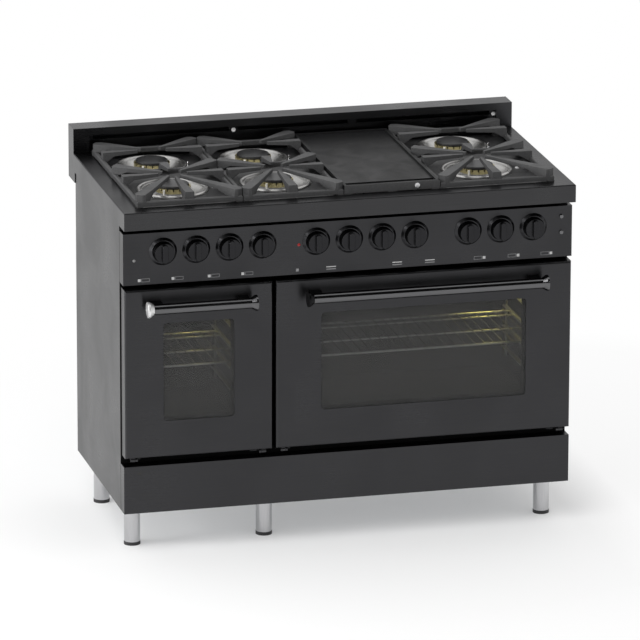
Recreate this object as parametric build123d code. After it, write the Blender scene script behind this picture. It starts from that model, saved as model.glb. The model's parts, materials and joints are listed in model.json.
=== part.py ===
from build123d import *
import os

# Freestanding gas range with six burners, a griddle and two ovens.
# Millimetres. Origin on the floor under the middle of the range, +Z up, the front faces -Y.

# Overall envelope
overall_width = 1218.0
cooktop_depth = 682.0
leg_height = 117.0
kick_height = 129.0
kick_gap = 25.0
door_height = 459.0
panel_gap = 12.0
panel_height = 139.0
rail_gap = 15.0
rail_height = 48.0
guard_rise = 68.0

# How far each front stands behind the face of the cooktop rail
panel_setback = 26.0
door_setback = 18.0
kick_setback = 28.5

# Sheet metal
skin = 1.5
cook_sheet = 2.0
panel_sheet = 2.0
side_inset = 2.0
side_flange = 25.0
base_depth = 20.0
shield_flange = 15.0
shield_drop = 4.0
frame_sheet = 3.0
frame_border = 17.0
control_margin = 10.0
rear_overhang = 77.0
back_slot_rise = 390.0
back_slot_length = 180.0
back_slot_height = 6.0
back_slot_pitch = 18.0
back_slot_rows = 7
back_bank_pitch = 360.0
back_banks = 3
edge_round = 3.0

# Cooktop pan
rim_side = 44.0
rim_front = 46.0
rim_rear = 19.0
pan_depth = 14.0
bay_gap = 2.0
bay_clearance = 2.0
left_grate_width = 282.0
middle_grate_width = 269.0
griddle_width = 259.0
burner_front = 252.0
burner_pitch = 246.0
grate_split = 359.0

# Burner
bowl_radius = 95.0
bowl_hole = 83.0
bowl_floor = 64.0
bowl_eye = 42.0
bowl_depth = 16.0
base_flange = 58.0
base_flange_height = 3.5
base_radius = 41.0
base_rise = 16.0
base_cup = 30.0
base_neck = 41.0
base_cup_depth = 22.0
base_bore = 12.0
head_radius = 48.0
head_bore = 30.0
head_height = 12.0
port_count = 18
port_width = 3.0
port_depth = 6.0
cap_radius = 43.0
cap_height = 7.0
cap_round = 3.0
igniter_circle = 53.5
igniter_angle = 232.0
igniter_radius = 3.0
igniter_height = 23.0

# Grates
grate_height = 47.0
grate_bar = 11.0
grate_bar_drop = 18.0
grate_bar_height = 13.0
grate_chamfer = 2.5
grate_foot = 16.0
finger_gap = 30.0
corner_root = 40.0
corner_tip = 9.0
corner_root_height = 32.0
side_root = 32.0
side_tip = 8.0
side_root_height = 32.0
knee_share = 0.32
knee_height = 11.0
tip_height = 8.0
cast_draft = 82.0

# Griddle
griddle_height = 32.0
griddle_plate = 10.0
griddle_lip = 8.0
griddle_lip_height = 5.0
trough_width = 34.0
trough_depth = 6.0
apron_drop = 7.0
apron_wall = 10.0
griddle_foot = 22.0
outlet_radius = 7.0
outlet_reach = 3.0
outlet_inset = 62.0
griddle_tube = 9.0
griddle_bend = 45.0
griddle_margin = 55.0
griddle_stub = 7.0
griddle_hole = 10.0

# Backguard
guard_depth = 63.0
duct_drop = 77.0
guard_sheet = 2.0
guard_post = 44.0
guard_cap = 20.0
guard_recess = 15.0
vent_height = 11.0
vent_drop = 4.0
vent_middle = 306.0
vent_bridge = 24.0
vent_margin = 14.0

# Control panel, knobs, buttons and lamps
knob_rise = 87.0
knob_end_inset = 106.5
knob_group_gap = 144.5
knob_groups = (4, 4, 3)
stem_radius = 4.0
stem_hole = 6.5
stem_grip = 22.0
stem_seat = 14.0
knob_fit = 0.1
valve_fit = 0.3
bezel_radius = 37.5
bezel_bore = 29.0
bezel_height = 6.0
bezel_taper = 6.5
knob_lift = 1.0
skirt_radius = 28.0
skirt_height = 11.0
body_radius = 27.0
body_step = 2.0
face_radius = 26.0
face_height = 24.0
grip_width = 15.0
grip_length = 50.0
grip_height = 10.0
grip_round = 2.0
button_inset = 29.5
upper_button_rise = 110.5
lower_button_rise = 67.0
button_radius = 5.5
button_reach = 4.5
button_bevel = 1.0
button_collar = 8.0
button_collar_height = 2.0
running_gap = 0.3
pilot_rise = 66.0
pilot_radius = 4.0
warning_rise = 80.0
warning_offset = 47.0
lamp_dome = 2.5
lamp_tail = 14.0
lamp_fit = 0.1

# Gas train
valve_width = 26.0
valve_depth = 40.0
valve_height = 34.0
valve_setback = 55.0
manifold_size = 22.0
manifold_post = 30.0
manifold_post_sheet = 4.0
manifold_post_inset = 90.0
inlet_radius = 10.5
inlet_inset = 69.0
inlet_reach = 40.0
inlet_clearance = 0.5
locknut_radius = 17.0
locknut_height = 8.0
feed_radius = 3.5
feed_bend = 9.0
feed_low = 20.0
feed_high = 34.0

# Doors
left_door_width = 397.0
door_gap = 8.0
door_side_inset = 2.0
door_depth = 45.0
door_wall = 2.0
door_round = 6.0
liner_sheet = 4.0
seal_gap = 4.0
gasket_width = 10.0
gasket_gap = 0.3
left_window_width = 190.0
right_window_width = 558.0
window_height = 266.0
window_lift = 2.5
window_round = 10.0
glass_sheet = 4.0
glass_lap = 12.0
plug_depth = 6.0
plug_clearance = 4.0
plug_border = 16.0

# Handles
handle_offset = 40.0
handle_drop = 43.0
handle_radius = 14.0
handle_cap_radius = 21.0
handle_cap_length = 16.0
handle_cap_rim = 5.0
left_handle_inset = 52.0
right_handle_inset = 76.0
post_width = 28.0
post_fit = 0.1
post_height = 24.0

# Door hinges
hinge_forward = 14.0
hinge_below = 7.0
hinge_pin = 3.0
hinge_fit = 0.1
knuckle_radius = 6.0
knuckle_width = 12.0
hinge_inset = 16.0
leaf_sheet = 2.0
leaf_reach = 15.0
cheek_width = 6.0
cheek_gap = 0.5
hinge_plate_drop = 4.0
hinge_plate_width = 22.0
hinge_plate_sheet = 3.0

# Ovens
cavity_side = 45.0
cavity_below = 30.0
cavity_above = 35.0
cavity_depth = 450.0
cavity_round = 14.0
cavity_flange = 12.0
rack_level = 183.0
rack_pitch = 58.0
rack_steps_below = 2
rack_steps_above = 2
rack_front = 46.0
rack_length = 292.0
rack_bar = 6.0
rack_wire = 4.0
rack_wire_pitch = 24.0
rack_cross_rods = 3
rack_clearance = 3.0
guide_depth = 12.0
guide_bar = 4.0
guide_post = 8.0
guide_front = 30.0
guide_rear = 40.0
broil_radius = 8.0
broil_drop = 22.0
broil_bend = 40.0
broil_margin = 60.0
bake_radius = 14.0
bake_drop = 34.0
strap_width = 20.0
strap_sheet = 4.0
lamp_base = 24.0
lamp_base_height = 5.0
lamp_lens = 18.0
lamp_shoulder = 11.0
lamp_lens_height = 12.5
lamp_back = 90.0
lamp_below = 55.0

# Legs
leg_radius = 21.5
leg_wall = 2.0
leg_plate = 64.0
leg_plate_height = 4.0
leg_inset = 44.0
leg_front = 134.0
leg_pitch = 373.0
foot_height = 9.0
foot_radius = 22.0
foot_stud = 8.0
foot_stud_height = 60.0

# Heights from the floor up
body_bottom = leg_height
kick_top = body_bottom + kick_height
door_bottom = kick_top + kick_gap
door_top = door_bottom + door_height
panel_bottom = door_top + panel_gap
panel_top = panel_bottom + panel_height
rail_bottom = panel_top + rail_gap
cook_top = rail_bottom + rail_height
cook_under = cook_top - cook_sheet
guard_top = cook_top + guard_rise
duct_bottom = cook_top - duct_drop
pan_top = cook_top - pan_depth
pan_under = pan_top - cook_sheet
knob_z = panel_bottom + knob_rise
shield_z = panel_bottom - shield_drop

# Depths, with the range centred between its handles and the back of the backguard
handle_reach = handle_offset + handle_cap_radius - door_setback
rail_y = (handle_reach - cooktop_depth) / 2
back_y = rail_y + cooktop_depth
guard_front = back_y - guard_depth
body_back = back_y - rear_overhang
panel_front = rail_y + panel_setback
door_front = rail_y + door_setback
door_back = door_front + door_depth
frame_front = door_back + seal_gap
frame_back = frame_front + frame_sheet
kick_front = rail_y + kick_setback
valve_front = panel_front + valve_setback
manifold_front = valve_front + valve_depth
hinge_y = door_front + hinge_forward
hinge_z = door_bottom - hinge_below

# Widths
half_width = overall_width / 2
half_body = half_width - side_inset
half_inner = half_body - side_flange
half_skin = half_body - skin
half_door = half_body - door_side_inset
left_door = (-half_door, -half_door + left_door_width)
right_door = (left_door[1] + door_gap, half_door)
divider_x = (left_door[1] + right_door[0]) / 2
knob_run = 2 * (half_body - knob_end_inset) - (len(knob_groups) - 1) * knob_group_gap
knob_pitch = knob_run / (sum(knob_groups) - len(knob_groups))

# Bays of the cooktop, from left to right
pan_half = half_width - rim_side
pan_front = rail_y + rim_front
pan_back = guard_front - rim_rear
left_bay = (-pan_half + bay_clearance, -pan_half + bay_clearance + left_grate_width)
middle_bay = (left_bay[1] + bay_gap, left_bay[1] + bay_gap + middle_grate_width)
griddle_bay = (middle_bay[1] + bay_gap, middle_bay[1] + bay_gap + griddle_width)
right_bay = (griddle_bay[1] + bay_gap, pan_half - bay_clearance)
bay_depth = (pan_front + bay_clearance, pan_back - bay_clearance)
grate_bays = (left_bay, middle_bay, right_bay)
burner_rows = (rail_y + burner_front, rail_y + burner_front + burner_pitch)
base_bottom = pan_top - bowl_depth - base_cup_depth
head_bottom = pan_top - bowl_depth + base_rise
cap_bottom = head_bottom + head_height


def middle(span):
    return (span[0] + span[1]) / 2


def length(span):
    return span[1] - span[0]


def around(centre, width):
    return (centre - width / 2, centre + width / 2)


def grown(span, margin):
    return (span[0] - margin, span[1] + margin)


def block(x, y, z):
    return Pos(middle(x), middle(y), middle(z)) * Box(length(x), length(y), length(z))


def open_box(x, y, z, wall, mouth):
    # sheet-metal box whose side named by mouth, such as "+y", is left open
    inner = [[span[0] + wall, span[1] - wall] for span in (x, y, z)]
    axis = "xyz".index(mouth[1])
    end = 1 if mouth[0] == "+" else 0
    inner[axis][end] = (x, y, z)[axis][end]
    return block(x, y, z) - block(*inner)


def rounded_plate(x, z, radius, y):
    # plate that stands upright, facing the front, with rounded corners
    face = Plane.XZ * Pos(middle(x), middle(z)) * RectangleRounded(length(x), length(z), radius)
    return Pos(0, y[1], 0) * extrude(face, length(y))


def upright(x, y, z, radius):
    return Pos(x, y, middle(z)) * Cylinder(radius, length(z))


def along_x(x, y, z, radius):
    return Pos(middle(x), y, z) * Rot(0, 90, 0) * Cylinder(radius, length(x))


def along_y(x, y, z, radius):
    return Pos(x, middle(y), z) * Rot(90, 0, 0) * Cylinder(radius, length(y))


def facing(x, y, z):
    # place for a turned piece whose axis comes out of the front
    return Pos(x, y, z) * Rot(90, 0, 0)


def turned(*points):
    return revolve(Plane.XZ * make_face(Polyline(*points, close=True)), Axis.Z)


def tube(points, bend, radius):
    path = FilletPolyline(*points, radius=bend)
    section = Plane(origin=path @ 0, z_dir=path % 0) * Circle(radius)
    return sweep(section, path)


def group(solids):
    return Compound(children=list(solids))


def burner_places():
    return [(middle(bay), row) for bay in grate_bays for row in burner_rows]


def knob_places():
    # groups of knobs spread over the panel, with a wider space between the groups
    places = []
    x = -half_body + knob_end_inset
    for count in knob_groups:
        places += [x + index * knob_pitch for index in range(count)]
        x = places[-1] + knob_group_gap
    return places


def side_panel(side):
    x = (half_inner, half_body) if side > 0 else (-half_body, -half_inner)
    mouth = "-x" if side > 0 else "+x"
    return open_box(x, (frame_back, body_back), (body_bottom, cook_under), skin, mouth)


def back_panel():
    plate = block((-half_inner, half_inner), (body_back - skin, body_back), (body_bottom, cook_under))
    hole = along_y(half_body - inlet_inset, (body_back - 2 * skin, body_back + skin), knob_z,
                   inlet_radius + inlet_clearance)
    return plate - hole - back_slots()


def back_slots():
    # banks of cooling slots that are punched through the back
    slots = []
    for bank in range(back_banks):
        x = (bank - (back_banks - 1) / 2) * back_bank_pitch
        for row in range(back_slot_rows):
            z = body_bottom + back_slot_rise + row * back_slot_pitch
            slots.append(block(around(x, back_slot_length), (body_back - 2 * skin, body_back + skin),
                               around(z, back_slot_height)))
    return slots


def base_pan():
    y = (frame_back, body_back - skin)
    return open_box((-half_inner, half_inner), y, (body_bottom, body_bottom + base_depth), skin, "+z")


def heat_shield():
    y = (frame_back + skin, body_back - skin)
    return open_box((-half_skin, half_skin), y, (shield_z, shield_z + shield_flange), skin, "+z")


def cavity_span(door):
    x = (door[0] + cavity_side, door[1] - cavity_side)
    z = (door_bottom + cavity_below, door_top - cavity_above)
    return x, z


def front_frame():
    y = (frame_front, frame_back)
    plate = block((-half_body, half_body), y, (body_bottom, panel_top))
    control = block((-half_body + frame_border, half_body - frame_border), y,
                    (panel_bottom + control_margin, panel_top - control_margin))
    plate -= control
    for door in (left_door, right_door):
        x, z = cavity_span(door)
        plate -= rounded_plate(x, z, cavity_round, y)
    return plate


def oven_cavity(door):
    x, z = cavity_span(door)
    outer_x = (x[0] - skin, x[1] + skin)
    outer_z = (z[0] - skin, z[1] + skin)
    flange_x = (x[0] - cavity_flange, x[1] + cavity_flange)
    flange_z = (z[0] - cavity_flange, z[1] + cavity_flange)
    back = frame_back + cavity_depth
    shell = rounded_plate(outer_x, outer_z, cavity_round + skin, (frame_back, back + skin))
    shell += rounded_plate(flange_x, flange_z, cavity_round + cavity_flange, (frame_back, frame_back + skin))
    return shell - rounded_plate(x, z, cavity_round, (frame_back, back))


def cooktop():
    x = (-half_width, half_width)
    y = (rail_y, guard_front)
    slab = block(x, y, (rail_bottom, cook_top))
    crown = [edge for edge in slab.faces().sort_by(Axis.Z)[-1].edges() if edge.center().Y < guard_front - 1]
    slab = fillet(crown, edge_round)
    pan_x = (-pan_half, pan_half)
    pan_y = (pan_front, pan_back)
    pan = block(grown(pan_x, cook_sheet), grown(pan_y, cook_sheet), (pan_under, cook_top))
    under = block(grown(x, -cook_sheet), (rail_y + cook_sheet, guard_front), (rail_bottom, cook_under))
    ledge = block(x, (body_back, guard_front), (rail_bottom, cook_under))
    recess = block(pan_x, pan_y, (pan_top, cook_top))
    top = slab - (under - pan) - ledge - recess
    for place in burner_places():
        top -= upright(*place, (pan_under, pan_top), bowl_hole)
    return top - upright(*griddle_inlet(), (pan_under, pan_top), griddle_hole)


def burner_bowl():
    # shallow dish that hangs in the pan by its flange
    sheet = skin
    return turned((bowl_radius, 0), (bowl_radius, sheet), (bowl_hole - sheet, sheet),
                  (bowl_floor, sheet - bowl_depth), (bowl_eye, sheet - bowl_depth), (bowl_eye, -bowl_depth),
                  (bowl_floor - sheet, -bowl_depth), (bowl_hole - 2 * sheet, 0))


def burner_base():
    seat = skin
    flange_top = seat + base_flange_height
    return turned((base_bore, -base_cup_depth), (base_cup, -base_cup_depth), (base_neck, 0),
                  (base_neck, seat), (base_flange, seat), (base_flange, flange_top),
                  (base_radius, flange_top), (base_radius, base_rise), (base_bore, base_rise))


def burner_head():
    ring = turned((head_bore, 0), (head_radius, 0), (head_radius, head_height), (head_bore, head_height))
    port = Pos(head_radius, 0, head_height - port_depth / 2) * Box(head_radius, port_width, port_depth)
    return ring - [Rot(0, 0, 360 / port_count * index) * port for index in range(port_count)]


def burner_cap():
    cap = Pos(0, 0, cap_height / 2) * Cylinder(cap_radius, cap_height)
    return fillet(cap.edges().sort_by(Axis.Z)[-1], cap_round)


def igniter():
    pin = Pos(igniter_circle, 0, igniter_height / 2) * Cylinder(igniter_radius, igniter_height)
    return Rot(0, 0, igniter_angle) * pin


def at_burners(shape, z):
    return group(Pos(x, y, z) * shape for x, y in burner_places())


def to_knee(start, end):
    return start + knee_share * (end - start)


def finger(root, tip, root_size, tip_size, top):
    # cast finger with a level top: deep at its root, slim from the knee to the tip
    direction = Vector(tip[0] - root[0], tip[1] - root[1], 0).normalized()
    side = Vector(-direction.Y, direction.X, 0)
    knee = (to_knee(root[0], tip[0]), to_knee(root[1], tip[1]))
    knee_size = (to_knee(root_size[0], tip_size[0]), knee_height)
    sections = []
    for point, size in ((root, root_size), (knee, knee_size), (tip, tip_size)):
        plane = Plane(origin=(point[0], point[1], top), x_dir=side, z_dir=direction)
        sections.append(plane * Trapezoid(size[0], size[1], cast_draft, align=(Align.CENTER, Align.MAX)))
    return loft(sections, ruled=True)


def toward(root, centre, gap):
    # point on the line from root to centre that stops short of the centre
    reach = Vector(root[0] - centre[0], root[1] - centre[1], 0).normalized() * gap
    return (centre[0] + reach.X, centre[1] + reach.Y)


def grate(bay):
    top = pan_top + grate_height
    bar_top = top - grate_bar_drop
    split = rail_y + grate_split
    cells = ((bay_depth[0], split), (split, bay_depth[1]))
    half_bar = grate_bar / 2
    outline = Pos(middle(bay), middle(bay_depth)) * Rectangle(length(bay), length(bay_depth))
    for cell in cells:
        low = cell[0] + (grate_bar if cell is cells[0] else half_bar)
        high = cell[1] - (grate_bar if cell is cells[1] else half_bar)
        window = Rectangle(length(bay) - 2 * grate_bar, high - low)
        outline -= Pos(middle(bay), middle((low, high))) * window
    ring = Pos(0, 0, bar_top - grate_bar_height) * extrude(outline, grate_bar_height)
    cast = chamfer(ring.faces().sort_by(Axis.Z)[-1].edges(), grate_chamfer)
    for x in (bay[0] + grate_foot / 2, bay[1] - grate_foot / 2):
        for y in (bay_depth[0] + grate_foot / 2, split, bay_depth[1] - grate_foot / 2):
            foot = (pan_top, bar_top - grate_bar_height / 2)
            cast += Pos(x, y, middle(foot)) * Box(grate_foot, grate_foot, length(foot))
    left = bay[0] + half_bar
    right = bay[1] - half_bar
    for cell, row in zip(cells, burner_rows):
        centre = (middle(bay), row)
        front = cell[0] + (half_bar if cell is cells[0] else 0)
        back = cell[1] - (half_bar if cell is cells[1] else 0)
        corners = [(left, back), (right, back)]
        sides = [(left, row), (right, row)]
        if cell is cells[0]:
            # the front burner alone has fingers from all round
            corners += [(left, front), (right, front)]
            sides += [(middle(bay), front), (middle(bay), back)]
        for root in corners:
            tip = toward(root, centre, finger_gap)
            cast += finger(root, tip, (corner_root, corner_root_height), (corner_tip, tip_height), top)
        for root in sides:
            tip = toward(root, centre, finger_gap + corner_tip)
            cast += finger(root, tip, (side_root, side_root_height), (side_tip, tip_height), top)
    # the corner fingers are trimmed where they would stand out of the bay
    return cast & block(bay, bay_depth, (pan_top, top))


def griddle():
    top = pan_top + griddle_height
    under = top - griddle_plate
    lip_top = top + griddle_lip_height
    front = bay_depth[0]
    plate = block(griddle_bay, bay_depth, (under, lip_top))
    well = block((griddle_bay[0] + griddle_lip, griddle_bay[1] - griddle_lip),
                 (front + apron_wall, bay_depth[1] - griddle_lip), (top, lip_top))
    trough = block((griddle_bay[0] + griddle_lip, griddle_bay[1] - griddle_lip),
                   (front + apron_wall, front + apron_wall + trough_width), (top - trough_depth, top))
    apron = block(griddle_bay, (front, front + apron_wall), (under - apron_drop, under))
    cast = plate - well - trough + apron
    feet_x = (griddle_bay[0] + griddle_foot / 2, middle(griddle_bay), griddle_bay[1] - griddle_foot / 2)
    for x in feet_x:
        cast += block(around(x, griddle_foot), (front, front + apron_wall), (pan_top, under - apron_drop))
    for x in (feet_x[0], feet_x[-1]):
        cast += block(around(x, griddle_foot), (bay_depth[1] - apron_wall, bay_depth[1]), (pan_top, under))
    outlet_y = (front - outlet_reach, front)
    return cast + along_y(griddle_bay[1] - outlet_inset, outlet_y, middle((under, top)), outlet_radius)


def griddle_inlet():
    return griddle_bay[0] + griddle_margin, bay_depth[0] + griddle_margin


def griddle_burner():
    # U-shaped burner tube on the pan floor, fed through the pan
    x, y = griddle_inlet()
    z = pan_top + griddle_tube + running_gap
    back = bay_depth[1] - griddle_margin
    far = griddle_bay[1] - griddle_margin
    bar = tube([(x, y - griddle_tube, z), (x, back, z), (far, back, z), (far, y - griddle_tube, z)],
               griddle_bend, griddle_tube)
    stub = upright(x, y, (base_bottom, z), griddle_stub)
    return bar + stub


def backguard():
    # vent duct behind the body with an upstand over the cooktop
    outline = Polyline((body_back, duct_bottom), (back_y, duct_bottom), (back_y, guard_top),
                       (guard_front, guard_top), (guard_front, cook_under), (body_back, cook_under),
                       close=True)
    duct = extrude(Plane.YZ * make_face(outline), half_width, both=True)
    inner_half = half_width - guard_sheet
    face = guard_front + guard_recess
    post_half = half_width - guard_post
    cap_under = guard_top - guard_cap
    duct -= block((-post_half, post_half), (guard_front, face), (cook_top, cap_under))
    duct -= block((-inner_half, inner_half), (face + guard_sheet, back_y - guard_sheet),
                  (duct_bottom, guard_top - guard_sheet))
    duct -= block((-inner_half, inner_half), (body_back + guard_sheet, back_y - guard_sheet),
                  (duct_bottom, cook_under - guard_sheet))
    vent_top = cap_under - vent_drop
    for vent in vent_spans():
        duct -= block(vent, (face, face + guard_sheet), (vent_top - vent_height, vent_top))
    return duct


def vent_spans():
    # a middle slot and one at each end, with a bridge between them
    end = half_width - guard_post - vent_margin
    inner = vent_middle / 2
    outer = inner + vent_bridge
    return ((-end, -outer), (-inner, inner), (outer, end))


def button_x():
    return half_body - button_inset


def lamp_spots():
    # pilot lamp at the left end and warning lamp beside the middle group of knobs
    warning_x = knob_places()[knob_groups[0]] - warning_offset
    return ((-button_x(), pilot_rise), (warning_x, warning_rise))


def control_panel():
    y = (panel_front, frame_front)
    shell = open_box((-half_body, half_body), y, (panel_bottom, panel_top), panel_sheet, "+y")
    face = (panel_front, panel_front + panel_sheet)
    for x in knob_places():
        shell -= along_y(x, face, knob_z, stem_hole)
    for rise in (upper_button_rise, lower_button_rise):
        shell -= along_y(button_x(), face, panel_bottom + rise, button_radius + running_gap)
    for x, rise in lamp_spots():
        shell -= along_y(x, face, panel_bottom + rise, pilot_radius + lamp_fit)
    return shell


def knob_bezels():
    ring = turned((bezel_bore, 0), (bezel_radius, 0), (bezel_radius - bezel_taper, bezel_height),
                  (bezel_bore, bezel_height))
    return group(facing(x, panel_front, knob_z) * ring for x in knob_places())


def knob(x):
    # skirted knob with a grip bar, on a stem that reaches back into its valve
    body = turned((0, knob_lift), (skirt_radius, knob_lift), (skirt_radius, skirt_height),
                  (body_radius, skirt_height + body_step), (face_radius, face_height), (0, face_height))
    grip = extrude(Pos(0, 0, face_height) * SlotOverall(grip_length, grip_width, rotation=90), grip_height)
    grip = fillet(grip.faces().sort_by(Axis.Z)[-1].edges(), grip_round)
    bore = Pos(0, 0, stem_grip / 2) * Cylinder(stem_radius + knob_fit, stem_grip)
    tail = -(valve_setback + stem_seat)
    stem = upright(0, 0, (tail, stem_grip), stem_radius)
    place = facing(x, panel_front, knob_z)
    return group([place * (body + grip - bore), place * stem])


def button(rise):
    # push button with a collar behind the panel that stops it from falling out
    stop = -panel_sheet - running_gap
    tail = stop - button_collar_height
    press = turned((0, button_reach), (button_radius - button_bevel, button_reach),
                   (button_radius, button_reach - button_bevel), (button_radius, stop), (button_collar, stop),
                   (button_collar, tail), (0, tail))
    return facing(button_x(), panel_front, panel_bottom + rise) * press


def indicator_lamps():
    lens = turned((0, lamp_dome), (pilot_radius, 0), (pilot_radius, -lamp_tail), (0, -lamp_tail))
    return group(facing(x, panel_front, panel_bottom + rise) * lens for x, rise in lamp_spots())


def gas_valves():
    bodies = []
    for x in knob_places():
        body = block(around(x, valve_width), (valve_front, manifold_front), around(knob_z, valve_height))
        seat_y = (valve_front, valve_front + stem_seat + running_gap)
        seat = along_y(x, seat_y, knob_z, stem_radius + valve_fit)
        bodies.append(body - seat)
    return group(bodies)


def gas_manifold():
    back = manifold_front + manifold_size
    low = knob_z - manifold_size / 2
    pipe = block((-half_skin, half_skin), (manifold_front, back), (low, low + manifold_size))
    posts = []
    for x in (-half_skin + manifold_post_inset, 0, half_skin - manifold_post_inset):
        post_y = (back - manifold_post_sheet, back)
        posts.append(block(around(x, manifold_post), post_y, (shield_z + skin, low)))
    inlet_x = half_body - inlet_inset
    inlet = along_y(inlet_x, (back, body_back + inlet_reach), knob_z, inlet_radius)
    nut = along_y(inlet_x, (body_back, body_back + locknut_height), knob_z, locknut_radius)
    return group([pipe, inlet + nut] + posts)


def burner_feeds():
    # tube from each burner's valve up to the cup of its burner
    places = knob_places()
    front_left, rear_left, front_middle, rear_middle, front_right, rear_right = burner_places()
    routes = ((places[0], front_left, feed_high), (places[1], rear_left, feed_low),
              (places[2], front_middle, feed_high), (places[3], rear_middle, feed_low),
              (places[5], griddle_inlet(), feed_low),
              (places[8], front_right, feed_high), (places[9], rear_right, feed_low))
    start_y = middle((valve_front, manifold_front))
    start_z = knob_z + valve_height / 2
    tubes = []
    for x, end, rise in routes:
        tubes.append(tube([(x, start_y, start_z), (x, start_y, start_z + rise), (*end, start_z + rise),
                           (*end, base_bottom)], feed_bend, feed_radius))
    return group(tubes)


def window_span(door, width):
    x = (middle(door) - width / 2, middle(door) + width / 2)
    z_mid = (door_bottom + door_top) / 2 + window_lift
    return x, (z_mid - window_height / 2, z_mid + window_height / 2)


def door_panel(door, window_width):
    # pressed door front, open at the back, with its window
    z = (door_bottom, door_top)
    y = (door_front, door_back - liner_sheet)
    outer = block(door, y, z)
    outer = fillet(outer.faces().sort_by(Axis.Y)[0].edges(), door_round)
    inner = block(grown(door, -door_wall), (door_front + door_wall, y[1]), grown(z, -door_wall))
    window_x, window_z = window_span(door, window_width)
    opening = rounded_plate(window_x, window_z, window_round, (door_front, door_front + door_wall))
    return outer - inner - opening


def door_glass(door, window_width):
    # outer pane behind the door front and inner pane on the liner
    window_x, window_z = window_span(door, window_width)
    x = grown(window_x, glass_lap)
    z = grown(window_z, glass_lap)
    liner_front = door_back - liner_sheet
    outer_y = (door_front + door_wall, door_front + door_wall + glass_sheet)
    inner_y = (liner_front - glass_sheet, liner_front)
    return group(rounded_plate(x, z, window_round, y) for y in (outer_y, inner_y))


def door_liner(door, window_width):
    # inner door sheet with a raised plug that enters the oven mouth
    z = (door_bottom, door_top)
    window_x, window_z = window_span(door, window_width)
    mouth_x, mouth_z = cavity_span(door)
    liner = block(door, (door_back - liner_sheet, door_back), z)
    plug_y = (door_back, door_back + plug_depth)
    plug_x = grown(mouth_x, -plug_clearance)
    plug_z = grown(mouth_z, -plug_clearance)
    plug = rounded_plate(plug_x, plug_z, cavity_round, plug_y)
    dish = rounded_plate(grown(window_x, plug_border), grown(window_z, plug_border), window_round, plug_y)
    opening = rounded_plate(window_x, window_z, window_round, (door_back - liner_sheet, door_back))
    return liner + (plug - dish) - opening


def handle_spots(door, inset):
    # ends of the bar between its two caps
    return grown(door, -inset - handle_cap_length)


def handle_bar(door, inset):
    # round bar that flares into a turned cap on each end
    x = handle_spots(door, inset)
    y = door_front - handle_offset
    z = door_top - handle_drop
    bar = along_x(x, y, z, handle_radius)
    flare = handle_cap_length - handle_cap_rim
    cap = turned((0, 0), (handle_radius, 0), (handle_cap_radius, flare),
                 (handle_cap_radius, handle_cap_length), (0, handle_cap_length))
    left = Pos(x[0], y, z) * Rot(0, -90, 0) * cap
    right = Pos(x[1], y, z) * Rot(0, 90, 0) * cap
    return bar + left + right


def handle_posts(door, inset):
    # saddle posts that carry the bar on the door front
    y_bar = door_front - handle_offset
    z_bar = door_top - handle_drop
    x = handle_spots(door, inset)
    posts = []
    for low in (x[0], x[1] - post_width):
        span = (low, low + post_width)
        post = block(span, (y_bar, door_front), around(z_bar, post_height))
        posts.append(post - along_x(span, y_bar, z_bar, handle_radius + post_fit))
    return group(posts)


def hinge_places(door):
    # left and right hinge, with the side on which the bracket's cheek stands
    return ((door[0] + hinge_inset, 1), (door[1] - hinge_inset, -1))


def door_hinges(door):
    # leaf under the door with a knuckle round the hinge pin
    leaves = []
    for x, side in hinge_places(door):
        knuckle_x = sorted((x, x + side * knuckle_width))
        leaf = block(knuckle_x, (hinge_y - knuckle_radius, hinge_y + leaf_reach),
                     (door_bottom - leaf_sheet, door_bottom))
        knuckle = along_x(knuckle_x, hinge_y, hinge_z, knuckle_radius)
        bore = along_x(knuckle_x, hinge_y, hinge_z, hinge_pin + hinge_fit)
        leaves.append(leaf + knuckle - bore)
    return group(leaves)


def hinge_brackets():
    # brackets on the front frame, each with its cheek and pin
    brackets = []
    for door in (left_door, right_door):
        for x, side in hinge_places(door):
            cheek_start = x + side * (knuckle_width + cheek_gap)
            cheek_x = sorted((cheek_start, cheek_start + side * cheek_width))
            pin_x = sorted((x, cheek_start))
            cheek = along_x(cheek_x, hinge_y, hinge_z, knuckle_radius)
            cheek += block(cheek_x, (hinge_y, frame_front), around(hinge_z, 2 * knuckle_radius))
            pin = along_x(pin_x, hinge_y, hinge_z, hinge_pin)
            plate_x = sorted((cheek_start, cheek_start + side * hinge_plate_width))
            plate = block(plate_x, (frame_front - hinge_plate_sheet, frame_front),
                          (hinge_z - knuckle_radius - hinge_plate_drop, hinge_z + knuckle_radius))
            brackets.append(cheek + pin + plate)
    return group(brackets)


def door_gaskets():
    y = (door_back + gasket_gap, frame_front)
    rings = []
    for door in (left_door, right_door):
        x, z = cavity_span(door)
        ring = rounded_plate(grown(x, gasket_width), grown(z, gasket_width), cavity_round + gasket_width, y)
        rings.append(ring - rounded_plate(x, z, cavity_round, y))
    return group(rings)


def kick_panel():
    y = (kick_front, frame_front)
    return open_box((-half_body, half_body), y, (body_bottom, kick_top), skin, "+y")


def leg_places():
    x = (-half_body + leg_inset, divider_x, half_body - leg_inset)
    y = (rail_y + leg_front, rail_y + leg_front + leg_pitch)
    return [(column, row) for column in x for row in y]


def legs():
    # steel tube with a top plate under the base
    posts = []
    for x, y in leg_places():
        post = upright(x, y, (foot_height, leg_height), leg_radius)
        post += Pos(x, y, leg_height - leg_plate_height / 2) * Box(leg_plate, leg_plate, leg_plate_height)
        bore = (foot_height, leg_height - leg_plate_height)
        posts.append(post - upright(x, y, bore, leg_radius - leg_wall))
    return group(posts)


def feet():
    # turned foot with a stud that adjusts inside the leg
    pads = []
    for x, y in leg_places():
        pad = upright(x, y, (0, foot_height), foot_radius)
        pads.append(pad + upright(x, y, (0, foot_height + foot_stud_height), foot_stud))
    return group(pads)


def rack_z():
    return door_bottom + rack_level + cavity_below


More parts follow.
